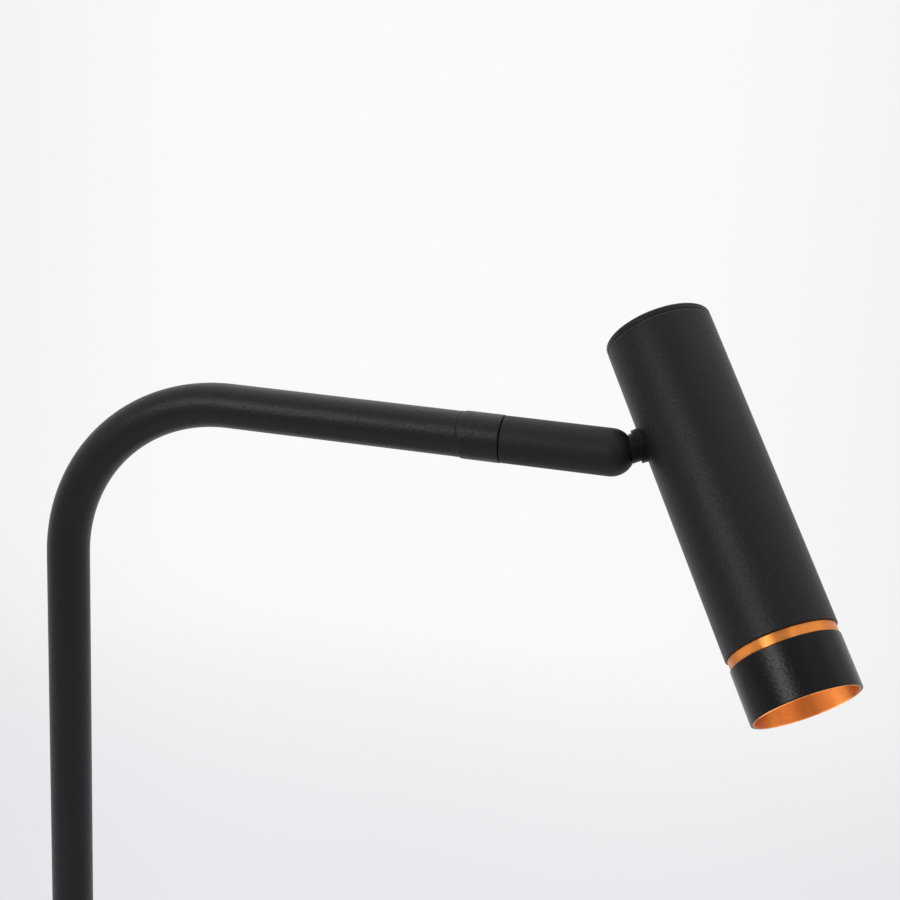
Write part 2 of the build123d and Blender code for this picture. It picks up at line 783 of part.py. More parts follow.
def glare_baffle():
    """Copper-coloured sleeve: spigot in the tube, band, and lip in the front ring."""
    lip_outer = front_ring_radius - front_ring_wall - slip_fit
    lip_inner = lip_outer - baffle_lip_wall
    top = lens_bottom - slip_fit
    band_top = tube_bottom - slip_fit
    profile = (
        (baffle_top_opening_radius, top),
        (head_bore - face_gap, top),
        (head_bore - face_gap, band_top),
        (baffle_band_radius, band_top),
        (baffle_band_radius, ring_top),
        (lip_outer, ring_top),
        (lip_outer, front_end + 0.3),
        (lip_outer - 0.3, front_end),
        (lip_inner, front_end),
    )
    return in_head(turned(profile))


def front_ring():
    """Black sleeve over the baffle's lip, its outer edges broken."""
    inner = front_ring_radius - front_ring_wall
    body = ring(front_ring_radius, inner, front_end + 0.15, ring_top)
    rims = body.edges().filter_by(GeomType.CIRCLE)
    outer_rims = [edge for edge in rims if edge.radius > inner + front_ring_wall / 2]
    return in_head(fillet(outer_rims, 0.35))


def head_lead():
    """Short lead from the knuckle's stud, down between two fins to the board's holder."""
    start = -head_bore + link_stud_inside + 0.3
    path = FilletPolyline(
        (start, 0, 0),
        (sink_lead_circle, 0, 0),
        (sink_lead_circle, 0, sink_bottom + 0.4),
        radius=head_lead_turn_radius,
    )
    return in_head(sweep(Plane(origin=path @ 0, z_dir=path % 0) * Circle(head_lead_radius), path=path))


sub_parts = (
    base_pad, base_plate, plate_screws, base_cover, base_weight, flange_screws, stem_flange,
    stem_collar, collar_screw, cord_gland, lamp_lead, stem_tube,
    switch_body, switch_terminals, switch_bezel, switch_nut, switch_button, switch_spring,
    arm_ferrule, swivel_bush, swivel_washer, swivel_spindle, swivel_spring_washer, swivel_nut, stop_pin,
    swivel_barrel, pivot_screw, friction_washers,
    knuckle_link, neck_washer, knuckle_saddle, knuckle_nut,
    head_tube, head_cap, cap_seal, snap_ring, heat_sink, led_board, led_emitter, led_holder,
    holder_screws, reflector, lens_gasket, front_lens, glare_baffle, front_ring, head_lead,
)

os.makedirs("parts", exist_ok=True)
for make in sub_parts:
    made = make()
    solids = made if isinstance(made, list) else [made]
    label = make.__name__
    export_step(Compound(children=[s for piece in solids for s in piece.solids()], label=label),
                f"parts/{label}.step")
    print(label, sum(len(piece.solids()) for piece in solids))
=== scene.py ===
import json
import math

import bpy
from mathutils import Matrix, Vector, noise


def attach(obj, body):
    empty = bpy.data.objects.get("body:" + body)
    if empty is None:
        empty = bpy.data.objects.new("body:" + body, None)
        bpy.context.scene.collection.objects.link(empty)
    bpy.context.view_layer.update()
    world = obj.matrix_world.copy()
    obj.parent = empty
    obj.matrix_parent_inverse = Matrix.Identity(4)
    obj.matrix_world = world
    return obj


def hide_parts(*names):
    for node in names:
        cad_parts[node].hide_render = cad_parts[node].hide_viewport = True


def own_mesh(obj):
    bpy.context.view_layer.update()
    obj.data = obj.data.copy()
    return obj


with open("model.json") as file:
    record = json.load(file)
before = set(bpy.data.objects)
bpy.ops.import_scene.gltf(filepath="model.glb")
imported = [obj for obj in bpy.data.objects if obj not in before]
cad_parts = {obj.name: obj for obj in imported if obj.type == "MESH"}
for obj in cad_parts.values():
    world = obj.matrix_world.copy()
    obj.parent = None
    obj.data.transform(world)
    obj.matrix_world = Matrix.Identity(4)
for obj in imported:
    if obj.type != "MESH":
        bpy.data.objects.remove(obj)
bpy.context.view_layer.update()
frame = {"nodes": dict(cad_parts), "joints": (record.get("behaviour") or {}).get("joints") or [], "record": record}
mm = 0.001
joints = {joint["name"]: joint for joint in frame["joints"]}
print("stage: frame loaded,", len(frame["nodes"]), "CAD nodes")


# Small helpers

def hexColour(code):
    # sRGB hex to the linear colour that shaders use
    parts = [int(code[i:i + 2], 16) / 255 for i in (1, 3, 5)]
    linear = [c / 12.92 if c <= 0.04045 else ((c + 0.055) / 1.055) ** 2.4 for c in parts]
    return (*linear, 1.0)


def addNode(tree, kind, settings=None, links=None):
    # one node with its settings and its incoming links
    node = tree.nodes.new(kind)
    for key, value in (settings or {}).items():
        if isinstance(key, int) or key in node.inputs:
            node.inputs[key].default_value = value
        else:
            setattr(node, key, value)
    for key, source in (links or {}).items():
        tree.links.new(source, node.inputs[key])
    return node


def newMaterial(name):
    material = bpy.data.materials.new(name)
    material.use_nodes = True
    tree = material.node_tree
    tree.nodes.clear()
    shader = addNode(tree, "ShaderNodeBsdfPrincipled")
    addNode(tree, "ShaderNodeOutputMaterial", links={"Surface": shader.outputs[0]})
    return material, tree, shader


def pickNothing():
    for other in list(bpy.context.selected_objects):
        other.select_set(False)


def pick(piece):
    pickNothing()
    piece.select_set(True)
    bpy.context.view_layer.objects.active = piece


# Places taken from the frame

headPose = {"tilt": 28.5, "reach": 37.85, "studOffset": 1.7}   # degrees from plumb, mm from the tilt axis
tiltJoint = joints["head_tilt"]
twist = math.atan2(-tiltJoint["axis"][2], tiltJoint["axis"][1])
pivotPlace = Vector(tiltJoint["pos_m"])
swivelTurn = Matrix.Rotation(-twist, 4, "X")
headTurn = swivelTurn @ Matrix.Rotation(-math.radians(headPose["tilt"]), 4, "Y")
headOffset = (headPose["reach"] * mm, 0, -headPose["studOffset"] * mm)
headMatrix = Matrix.Translation(pivotPlace) @ headTurn @ Matrix.Translation(headOffset)
alongArm = Matrix.Rotation(math.radians(90), 4, "Y")   # turns a piece made about Z to lie along +X


# Materials

def powderCoat(name, dark, light, grain, depth, roughness, gloss=0.3, coarse=6.0):
    # Polyester powder coat, sprayed and baked: dull black with a fine sandy grain that glitters in a highlight.
    # grain and depth are in mm. Real grain is about 0.3 mm; it is drawn coarser so that it shows.
    material, tree, shader = newMaterial(name)
    place = addNode(tree, "ShaderNodeTexCoord")
    fine = addNode(tree, "ShaderNodeTexNoise", {"Scale": 1 / (grain * mm), "Detail": 3.0, "Roughness": 0.62},
                   {"Vector": place.outputs["Object"]})
    cloudy = addNode(tree, "ShaderNodeTexNoise", {"Scale": 1 / (grain * coarse * mm), "Detail": 2.0},
                     {"Vector": place.outputs["Object"]})
    pits = addNode(tree, "ShaderNodeTexVoronoi",
                   {"feature": "SMOOTH_F1", "Scale": 0.55 / (grain * mm), "Smoothness": 0.6},
                   {"Vector": place.outputs["Object"]})
    height = addNode(tree, "ShaderNodeMath", {"operation": "MULTIPLY_ADD", 1: 0.6},
                     {0: pits.outputs["Distance"], 2: fine.outputs[0]})
    bump = addNode(tree, "ShaderNodeBump", {"Strength": 1.0, "Distance": depth * mm}, {"Height": height.outputs[0]})
    tone = addNode(tree, "ShaderNodeMath", {"operation": "MULTIPLY_ADD", 1: 0.35},
                   {0: cloudy.outputs[0], 2: fine.outputs[0]})
    ramp = addNode(tree, "ShaderNodeMapRange", {"From Min": 0.40, "From Max": 1.0}, {"Value": tone.outputs[0]})
    colour = addNode(tree, "ShaderNodeMix", {"data_type": "RGBA", 6: hexColour(dark), 7: hexColour(light)},
                     {0: ramp.outputs[0]})
    rough = addNode(tree, "ShaderNodeMapRange", {"From Min": 0.3, "From Max": 0.7,
                                                 "To Min": roughness - 0.07, "To Max": roughness + 0.07},
                    {"Value": fine.outputs[0]})
    shader.inputs["Specular IOR Level"].default_value = gloss
    tree.links.new(colour.outputs[2], shader.inputs["Base Color"])
    tree.links.new(rough.outputs[0], shader.inputs["Roughness"])
    tree.links.new(bump.outputs[0], shader.inputs["Normal"])
    return material


def turnedMetal(name, dark, light, roughness, spacing, depth, turn=None, axis=None):
    # Metal turned on a lathe: fine rings round the axis. spacing and depth are the tool marks in mm.
    # Where the axis is given, rings too fine to draw spread its reflections along that axis.
    material, tree, shader = newMaterial(name)
    place = addNode(tree, "ShaderNodeTexCoord")
    turned = addNode(tree, "ShaderNodeMapping", {"Rotation": turn or (0, 0, 0), "Scale": (0.02, 0.02, 1.0)},
                     {"Vector": place.outputs["Object"]})
    marks = addNode(tree, "ShaderNodeTexNoise", {"Scale": 1 / (spacing * mm), "Detail": 2.0, "Roughness": 0.6},
                    {"Vector": turned.outputs[0]})
    cloudy = addNode(tree, "ShaderNodeTexNoise", {"Scale": 260.0, "Detail": 3.0}, {"Vector": place.outputs["Object"]})
    bump = addNode(tree, "ShaderNodeBump", {"Strength": 0.6, "Distance": depth * mm}, {"Height": marks.outputs[0]})
    tone = addNode(tree, "ShaderNodeMix", {"data_type": "RGBA", 6: hexColour(dark), 7: hexColour(light)},
                   {0: marks.outputs[0]})
    rough = addNode(tree, "ShaderNodeMapRange", {"From Min": 0.3, "From Max": 0.7,
                                                 "To Min": roughness - 0.04, "To Max": roughness + 0.05},
                    {"Value": cloudy.outputs[0]})
    shader.inputs["Metallic"].default_value = 1.0
    if axis:
        shader.inputs["Anisotropic"].default_value = 0.95
        grain = addNode(tree, "ShaderNodeVectorTransform", {"vector_type": "VECTOR", "convert_from": "OBJECT",
                                                            "convert_to": "WORLD", "Vector": axis})
        tree.links.new(grain.outputs[0], shader.inputs["Tangent"])
    tree.links.new(tone.outputs[2], shader.inputs["Base Color"])
    tree.links.new(rough.outputs[0], shader.inputs["Roughness"])
    tree.links.new(bump.outputs[0], shader.inputs["Normal"])
    return material


def mouldedPlastic(name, dark, light, roughness, grain=0.4, depth=0.01, ior=1.5):
    # Injection-moulded or pressed polymer: even colour, a faint cloudiness and a fine spark-eroded grain.
    material, tree, shader = newMaterial(name)
    place = addNode(tree, "ShaderNodeTexCoord")
    fine = addNode(tree, "ShaderNodeTexNoise", {"Scale": 1 / (grain * mm), "Detail": 2.0},
                   {"Vector": place.outputs["Object"]})
    cloudy = addNode(tree, "ShaderNodeTexNoise", {"Scale": 120.0, "Detail": 2.0}, {"Vector": place.outputs["Object"]})
    colour = addNode(tree, "ShaderNodeMix", {"data_type": "RGBA", 6: hexColour(dark), 7: hexColour(light)},
                     {0: cloudy.outputs[0]})
    bump = addNode(tree, "ShaderNodeBump", {"Strength": 0.7, "Distance": depth * mm}, {"Height": fine.outputs[0]})
    rough = addNode(tree, "ShaderNodeMapRange", {"To Min": roughness - 0.05, "To Max": roughness + 0.05},
                    {"Value": cloudy.outputs[0]})
    shader.inputs["IOR"].default_value = ior
    tree.links.new(colour.outputs[2], shader.inputs["Base Color"])
    tree.links.new(rough.outputs[0], shader.inputs["Roughness"])
    tree.links.new(bump.outputs[0], shader.inputs["Normal"])
    return material


def frostedLens(name):
    # Pressed glass with a light acid etch on its inner face: clear body, soft view of the cup behind it.
    material, tree, shader = newMaterial(name)
    place = addNode(tree, "ShaderNodeTexCoord")
    etch = addNode(tree, "ShaderNodeTexNoise", {"Scale": 2500.0, "Detail": 2.0}, {"Vector": place.outputs["Object"]})
    bump = addNode(tree, "ShaderNodeBump", {"Strength": 0.4, "Distance": 0.02 * mm}, {"Height": etch.outputs[0]})
    rough = addNode(tree, "ShaderNodeMapRange", {"To Min": 0.10, "To Max": 0.22}, {"Value": etch.outputs[0]})
    shader.inputs["Base Color"].default_value = hexColour("#f4f7f6")
    shader.inputs["Transmission Weight"].default_value = 1.0
    shader.inputs["IOR"].default_value = 1.5
    tree.links.new(rough.outputs[0], shader.inputs["Roughness"])
    tree.links.new(bump.outputs[0], shader.inputs["Normal"])
    return material


headEuler = tuple(headTurn.inverted().to_euler())
headAxis = tuple(headTurn @ Vector((0, 0, 1)))
stemCoat = powderCoat("powderCoatStem", "#121314", "#1b1c1d", grain=0.8, depth=0.145, roughness=0.38, gloss=0.26)
barrelCoat = powderCoat("powderCoatBarrel", "#121314", "#1b1c1d", grain=0.7, depth=0.07, roughness=0.54, gloss=0.26)
headCoat = powderCoat("powderCoatHead", "#111112", "#1a1a1b", grain=0.8, depth=0.14, roughness=0.42, gloss=0.24)
ringCoat = powderCoat("satinLacquerRing", "#0b0b0c", "#111112", grain=0.6, depth=0.09, roughness=0.22, gloss=0.21)
copper = turnedMetal("anodisedCopperTone", "#de7f34", "#ee9c54", roughness=0.42, spacing=0.35, depth=0.02,
                     turn=headEuler, axis=headAxis)
# a lighter coat colour for the turned top edges of the head tube and cap: a painted highlight standing in for the
# catch-light on those edges
paintedEdgeHighlight = powderCoat("powderCoatPaintedEdgeHighlight", "#38383a", "#4a4a4c", grain=0.8, depth=0.03, roughness=0.36, gloss=0.4)
blackSteel = turnedMetal("blackOxideSteel", "#1a1a1b", "#262627", roughness=0.42, spacing=0.3, depth=0.02)
zincSteel = turnedMetal("zincPlatedSteel", "#a9a9a4", "#c4c4bf", roughness=0.32, spacing=0.25, depth=0.015)
brass = turnedMetal("turnedBrass", "#b58a45", "#cda35a", roughness=0.3, spacing=0.25, depth=0.015)
bareAluminium = turnedMetal("extrudedAluminium", "#b4b6b8", "#cfd1d2", roughness=0.34, spacing=0.4, depth=0.02)
brightCup = turnedMetal("metallisedCup", "#cfcfd0", "#e2e2e3", roughness=0.16, spacing=0.5, depth=0.008,
                        turn=headEuler, axis=headAxis)
castIron = powderCoat("castIronPainted", "#1c1c1d", "#2c2c2d", grain=0.9, depth=0.2, roughness=0.62)
foam = mouldedPlastic("closedCellFoam", "#1a1a1a", "#262626", roughness=0.85, grain=0.5, depth=0.15)
rubber = mouldedPlastic("blackRubber", "#151515", "#1e1e1e", roughness=0.62, depth=0.02)
silicone = mouldedPlastic("whiteSilicone", "#c9c9c4", "#dcdcd8", roughness=0.5)
nylon = mouldedPlastic("blackNylon", "#161616", "#202020", roughness=0.5, depth=0.015)
whitePlastic = mouldedPlastic("whiteHeatResistantPlastic", "#dededa", "#ecece9", roughness=0.45)
buttonCap = mouldedPlastic("satinBlackCap", "#101011", "#18181a", roughness=0.3, depth=0.004)
leadSheath = mouldedPlastic("leadSheath", "#141414", "#1d1d1d", roughness=0.45)
boardMask = mouldedPlastic("whiteSolderMask", "#e2e3df", "#eeefec", roughness=0.35, depth=0.004)
phosphor = mouldedPlastic("phosphorGel", "#d9b23a", "#ecca55", roughness=0.4, grain=0.2, depth=0.02)
lensGlass = frostedLens("etchedGlass")

finishOfSlot = {
    "stem_coat": stemCoat, "head_coat": headCoat, "ring_coat": ringCoat, "copper_anodised": copper,
    "cast_weight": castIron, "zinc_steel": zincSteel, "blackened_steel": blackSteel, "turned_brass": brass,
    "soft_rubber": rubber, "silicone": silicone, "foam_pad": foam, "black_nylon": nylon,
    "white_moulding": whitePlastic, "lead_sheath": leadSheath, "switch_cap": buttonCap, "sink_metal": bareAluminium,
    "reflector_metal": brightCup, "lens_glass": lensGlass, "board_mask": boardMask, "emitter_gel": phosphor,
}
slotOfNode = {entry["node"]: entry["material_slot"] for entry in frame["record"]["subparts"]}
for node, thing in frame["nodes"].items():
    thing.data.materials.clear()
    thing.data.materials.append(finishOfSlot[slotOfNode[node]])
print("stage: materials set on the CAD nodes")


# Modelling helpers

def withSupport(outline, longest=3.0, margin=0.35):
    # long runs get a ring near each end, so that smooth shading stays in the corners
    points = [outline[0]]
    for low, high in zip(outline, outline[1:]):
        length = math.hypot(high[0] - low[0], high[1] - low[1])
        if length > longest:
            for share in (margin / length, 1 - margin / length):
                points.append((low[0] + (high[0] - low[0]) * share, low[1] + (high[1] - low[1]) * share))
        points.append(high)
    return points


poleRadius = 0.01    # mm, stands in for a radius of 0
weldGap = 0.004      # mm, points nearer than this become one


def closeMesh():
    # ends the editing of a mesh: double points joined, all faces turned outwards
    bpy.ops.mesh.select_all(action="SELECT")
    bpy.ops.mesh.remove_doubles(threshold=weldGap * mm)
    bpy.ops.mesh.normals_make_consistent(inside=False)
    bpy.ops.object.mode_set(mode="OBJECT")


def turnOnLathe(name, outline, sides=128, closed=True):
    # outline is a list of (radius, height) in mm, walked from the first ring to the last by extrude and resize;
    # a radius of 0 ends it in a pole, and closed=True joins the last ring to the first
    outline = withSupport(outline)
    pickNothing()
    radius, height = outline[0]
    start = max(radius, poleRadius)
    bpy.ops.mesh.primitive_circle_add(vertices=sides, radius=start * mm, fill_type="NOTHING",
                                      location=(0, 0, height * mm))
    piece = bpy.context.object
    piece.name = name
    bpy.ops.object.transform_apply(location=True, rotation=True, scale=True)
    bpy.ops.object.mode_set(mode="EDIT")
    bpy.ops.mesh.select_all(action="SELECT")
    if radius == 0:
        bpy.ops.mesh.edge_face_add()
    for nextRadius, nextHeight in outline[1:] + ([outline[0]] if closed else []):
        size = max(nextRadius, poleRadius)
        bpy.ops.mesh.extrude_edges_move(TRANSFORM_OT_translate={"value": (0, 0, (nextHeight - height) * mm)})
        if abs(size - start) > 1e-6:
            bpy.ops.transform.resize(value=(size / start, size / start, 1), center_override=(0, 0, nextHeight * mm))
        start, height = size, nextHeight
    if not closed and outline[-1][0] == 0:
        bpy.ops.mesh.edge_face_add()
    closeMesh()
    return piece


def corner(middle, radius, start, end, steps=6):
    # points of a rounded corner: middle of its arc, radius in mm, and the two angles in degrees
    points = []
    for step in range(steps + 1):
        angle = math.radians(start + (end - start) * step / steps)
        points.append((middle[0] + radius * math.cos(angle), middle[1] + radius * math.sin(angle)))
    return points


def roundedTop(radius, top, edge, steps=5):
    # the rounded edge between a piece's side and its top
    return corner((radius - edge, top - edge), edge, 0, 90, steps)


def roundedBottom(radius, bottom, edge, steps=5):
    # the rounded edge between a piece's bottom and its side
    return corner((radius - edge, bottom + edge), edge, -90, 0, steps)


def addRod(radius, length, matrix, sides=64):
    # plain round cutter, its middle and direction given by matrix
    pickNothing()
    bpy.ops.mesh.primitive_cylinder_add(vertices=sides, radius=radius * mm, depth=length * mm)
    rod = bpy.context.object
    rod.matrix_world = matrix
    return rod


def cutWith(piece, cutters):
    # each cutter is taken out of the piece and then deleted
    for cutter in cutters:
        pick(piece)
        cut = piece.modifiers.new("cut", "BOOLEAN")
        cut.operation = "DIFFERENCE"
        cut.solver = "EXACT"
        cut.object = cutter
        bpy.ops.object.modifier_apply(modifier=cut.name)
        pick(cutter)
        bpy.ops.object.delete()


def paintRimHighlight(piece, lowest, highest, narrowest, material):
    # paints a lighter colour on a turned edge, a painted highlight standing in for the catch-light there, in the
    # piece's own upright place
    piece.data.materials.append(material)
    for face in piece.data.polygons:
        if lowest * mm < face.center.z < highest * mm and math.hypot(face.center.x, face.center.y) > narrowest * mm:
            face.material_index = 1


def moveTo(piece, matrix):
    pick(piece)
    piece.matrix_world = matrix @ piece.matrix_world
    bpy.ops.object.transform_apply(location=True, rotation=True, scale=True)


def finishPiece(piece, node, body, material, smooth=32):
    # edges sharper than smooth, in degrees, stay sharp; the piece then takes its node's place and rides its body
    pick(piece)
    bpy.ops.object.shade_smooth_by_angle(angle=math.radians(smooth))
    if not piece.data.materials:
        piece.data.materials.append(material)
    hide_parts(node)
    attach(piece, body)
    print("stage:", piece.name, "made,", len(piece.data.polygons), "faces")


# Foot

foot = {"radius": 85, "bottom": 3.5, "top": 20, "wall": 1.5, "edge": 4, "padRadius": 82, "padTop": 1.5,
        "stemX": -55.5, "stemHole": 10.5, "switchX": 45, "switchHole": 9.5, "inletHeight": 8.8, "inletHole": 4.35,
        "innerEdge": 2.5, "topRing": 40}

inner = foot["radius"] - foot["wall"]
under = foot["top"] - foot["wall"]
coverOutline = [(0.0, under)]
coverOutline += corner((inner - foot["innerEdge"], under - foot["innerEdge"]), foot["innerEdge"], 90, 0)
coverOutline += [(inner, foot["bottom"] + 0.2), (inner + 0.2, foot["bottom"]), (foot["radius"] - 0.4, foot["bottom"]),
                 (foot["radius"], foot["bottom"] + 0.4)]
coverOutline += roundedTop(foot["radius"], foot["top"], foot["edge"], steps=10)
coverOutline += [(foot["topRing"], foot["top"]), (0.0, foot["top"])]
cover = turnOnLathe("footCover", coverOutline, sides=192, closed=False)
inletPlace = Matrix.Translation((-foot["radius"] * mm, 0, foot["inletHeight"] * mm)) @ alongArm
cutWith(cover, [
    addRod(foot["stemHole"], length=20, matrix=Matrix.Translation((foot["stemX"] * mm, 0, foot["top"] * mm))),
    addRod(foot["switchHole"], length=20, matrix=Matrix.Translation((foot["switchX"] * mm, 0, foot["top"] * mm))),
    addRod(foot["inletHole"], length=12, matrix=inletPlace, sides=32),
])
finishPiece(cover, "base_cover", "foot", stemCoat)

pad = turnOnLathe("footPad", [(0, 0), (foot["padRadius"] - 0.5, 0)]
                  + corner((foot["padRadius"] - 0.5, foot["padTop"] / 2), foot["padTop"] / 2, -90, 90, 5)
                  + [(0, foot["padTop"])], sides=128, closed=False)
finishPiece(pad, "base_pad", "foot", foam)

collar = {"inner": 10.35, "outer": 14, "top": 27, "bottom": 20, "edge": 1.0, "screw": 2.02, "screwHeight": 23.5,
          "screwMiddle": -16}
trim = turnOnLathe("stemCollar", [(collar["inner"], collar["bottom"]), (collar["outer"] - 0.2, collar["bottom"]),
                                  (collar["outer"], collar["bottom"] + 0.2)]
                   + roundedTop(collar["outer"], collar["top"], collar["edge"])
                   + [(collar["inner"] + 0.3, collar["top"]), (collar["inner"], collar["top"] - 0.3)], sides=96)
moveTo(trim, Matrix.Translation((foot["stemX"] * mm, 0, 0)))
screwPlace = Matrix.Translation(((foot["stemX"] + collar["screwMiddle"]) * mm, 0, collar["screwHeight"] * mm))
cutWith(trim, [addRod(collar["screw"], length=12, matrix=screwPlace @ alongArm, sides=32)])
finishPiece(trim, "stem_collar", "foot", stemCoat)

inlet = {"bore": 2.6, "neck": 4.3, "flange": 5.0, "out": -1.5, "wall": 1.65, "end": 6.0, "edge": 1.0, "taper": 1.5}
gland = turnOnLathe("cordInlet", [(inlet["bore"] + 0.3, inlet["out"]),
                                  (inlet["flange"] - inlet["edge"], inlet["out"])]
                    + roundedBottom(inlet["flange"], inlet["out"], inlet["edge"])
                    + [(inlet["flange"], 0), (inlet["neck"], 0), (inlet["neck"], inlet["wall"]),
                       (inlet["flange"], inlet["wall"]), (inlet["flange"], inlet["end"] - inlet["taper"]),
                       (inlet["bore"] + 1.0, inlet["end"]), (inlet["bore"], inlet["end"]),
                       (inlet["bore"], inlet["out"] + 0.3)], sides=64)
moveTo(gland, inletPlace)
finishPiece(gland, "cord_gland", "foot", rubber)

button = {"bezel": 11.2, "skirt": 7.55, "bore": 6.75, "bezelTop": 21.2, "skirtBottom": 16.4, "cap": 6.6, "lip": 7.2,
          "capTop": 22.8, "dish": 0.35, "lipTop": 16.3, "lipBottom": 15.1, "stem": 2.2, "stemBottom": 11.5,
          "bezelEdge": 0.7, "capEdge": 0.8, "travel": 1.5}
bezel = turnOnLathe("switchBezel", [(button["bore"], button["skirtBottom"]), (button["skirt"], button["skirtBottom"]),
                                    (button["skirt"], foot["top"]), (button["bezel"], foot["top"]),
                                    (button["bezel"], foot["top"] + 0.5)]
                    + roundedTop(button["bezel"], button["bezelTop"], button["bezelEdge"])
                    + [(button["bore"] + 0.5, button["bezelTop"]), (button["bore"] + 0.12, button["bezelTop"] - 0.12),
                       (button["bore"], button["bezelTop"] - 0.5)], sides=96)
moveTo(bezel, Matrix.Translation((foot["switchX"] * mm, 0, 0)))
finishPiece(bezel, "switch_bezel", "foot", ringCoat)

cap = turnOnLathe("switchCap", [(0, button["stemBottom"]), (button["stem"] - 0.3, button["stemBottom"]),
                                (button["stem"], button["stemBottom"] + 0.3), (button["stem"], button["lipBottom"]),
                                (button["lip"], button["lipBottom"]), (button["lip"], button["lipTop"]),
                                (button["cap"], button["lipTop"]),
                                (button["cap"], button["capTop"] - button["capEdge"])]
                  + roundedTop(button["cap"], button["capTop"], button["capEdge"], steps=6)
                  + [(4.4, button["capTop"] - button["dish"] * 0.45), (2.2, button["capTop"] - button["dish"] * 0.88),
                     (0, button["capTop"] - button["dish"])], sides=96, closed=False)
moveTo(cap, Matrix.Translation((foot["switchX"] * mm, 0, 0)))
finishPiece(cap, "switch_button", "button", buttonCap)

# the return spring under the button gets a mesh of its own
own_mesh(frame["nodes"]["switch_spring"])


# Stem and arm

stem = {"radius": 10.3, "wall": 1.5, "bottom": 14.4, "bend": 83.5, "level": 410, "armEnd": 138.5, "sides": 96,
        "bendSteps": 72, "stemRuns": 4, "armRuns": 2}
pickNothing()
bpy.ops.mesh.primitive_circle_add(vertices=stem["sides"], radius=stem["radius"] * mm, fill_type="NOTHING",
                                  location=(foot["stemX"] * mm, 0, stem["bottom"] * mm))
tube = bpy.context.object
tube.name = "bentStem"
bpy.ops.object.transform_apply(location=True, rotation=True, scale=True)
bpy.ops.object.mode_set(mode="EDIT")
bpy.ops.mesh.select_all(action="SELECT")
straight = stem["level"] - stem["bend"] - stem["bottom"]
for _ in range(stem["stemRuns"]):
    bpy.ops.mesh.extrude_edges_move(TRANSFORM_OT_translate={"value": (0, 0, straight / stem["stemRuns"] * mm)})
bpy.ops.mesh.spin(steps=stem["bendSteps"], angle=math.radians(90), axis=(0, -1, 0),
                  center=((foot["stemX"] + stem["bend"]) * mm, 0, (stem["level"] - stem["bend"]) * mm))
armRun = stem["armEnd"] - foot["stemX"] - stem["bend"]
for _ in range(stem["armRuns"]):
    bpy.ops.mesh.extrude_edges_move(TRANSFORM_OT_translate={"value": (armRun / stem["armRuns"] * mm, 0, 0)})
closeMesh()
wall = tube.modifiers.new("wall", "SOLIDIFY")
wall.thickness = stem["wall"] * mm
wall.offset = -1
bpy.ops.object.modifier_apply(modifier=wall.name)
finishPiece(tube, "stem_tube", "foot", stemCoat, smooth=40)


# End piece of the arm, with the weld that the coat runs over

endPiece = {"inside": 123.5, "spigot": 8.75, "neck": 10.05, "tubeEnd": 138.5, "radius": 10.8, "taperEnd": 141.3,
            "face": 158.0, "web": 150, "bushHole": 5.25, "counterbore": 7.3, "groove": (6.3, 8.7), "grooveFloor": 155.0,
            "neckStart": -0.6}
# how the weld wanders: where along the tube and from what radius, its slow and fast waves, and how far they reach
weld = {"from": -0.56, "to": 1.6, "radius": 9.9, "slow": 4.2, "fast": 17.0, "seed": 1.7, "along": 1.2,
        "wander": 0.9, "ripple": 0.45, "wanderSwell": 0.006, "rippleSwell": 0.010}
# radius of the bead and the taper after it, and the distance from the tube's end
bead = [(10.30, -0.5), (10.42, -0.15), (10.36, 0.2), (10.22, 0.45), (10.40, 0.8), (10.55, 1.3), (10.72, 2.0)]
weldStart = endPiece["tubeEnd"]


def noiseRound(angle, waves, height):
    # smooth noise that closes on itself round the tube
    return noise.noise(Vector((math.cos(angle) * waves, math.sin(angle) * waves, height)))


ferrule = turnOnLathe("armEndPiece", [
    (endPiece["bushHole"], endPiece["web"]), (endPiece["counterbore"], endPiece["web"]),
    (endPiece["counterbore"], endPiece["inside"]), (endPiece["spigot"], endPiece["inside"]),
    (endPiece["spigot"], weldStart + endPiece["neckStart"]), (endPiece["neck"], weldStart + endPiece["neckStart"]),
    *((radius, weldStart + along) for radius, along in bead), (endPiece["radius"], endPiece["taperEnd"]),
    (endPiece["radius"], endPiece["face"] - 0.35), (endPiece["radius"] - 0.1, endPiece["face"] - 0.1),
    (endPiece["radius"] - 0.35, endPiece["face"]),
    (endPiece["groove"][1], endPiece["face"]), (endPiece["groove"][1], endPiece["grooveFloor"]),
    (endPiece["groove"][0], endPiece["grooveFloor"]), (endPiece["groove"][0], endPiece["face"]),
    (endPiece["bushHole"], endPiece["face"])], sides=160)
for vertex in ferrule.data.vertices:
    # the bead wanders a little along the tube and in height, as a weld under a coat does
    place = vertex.co / mm
    along = place.z - weldStart
    if weld["from"] < along < weld["to"] and math.hypot(place.x, place.y) > weld["radius"]:
        around = math.atan2(place.y, place.x)
        wander = noiseRound(around, weld["slow"], weld["seed"])
        ripple = noiseRound(around, weld["fast"], place.z * weld["along"])
        vertex.co.z += (weld["wander"] * wander + weld["ripple"] * ripple) * mm
        swell = 1 + weld["rippleSwell"] * ripple + weld["wanderSwell"] * wander
        vertex.co.x *= swell
        vertex.co.y *= swell
moveTo(ferrule, Matrix.Translation((0, 0, stem["level"] * mm)) @ alongArm)
finishPiece(ferrule, "arm_ferrule", "foot", stemCoat, smooth=50)


# Round-nosed barrel with its one-sided slot

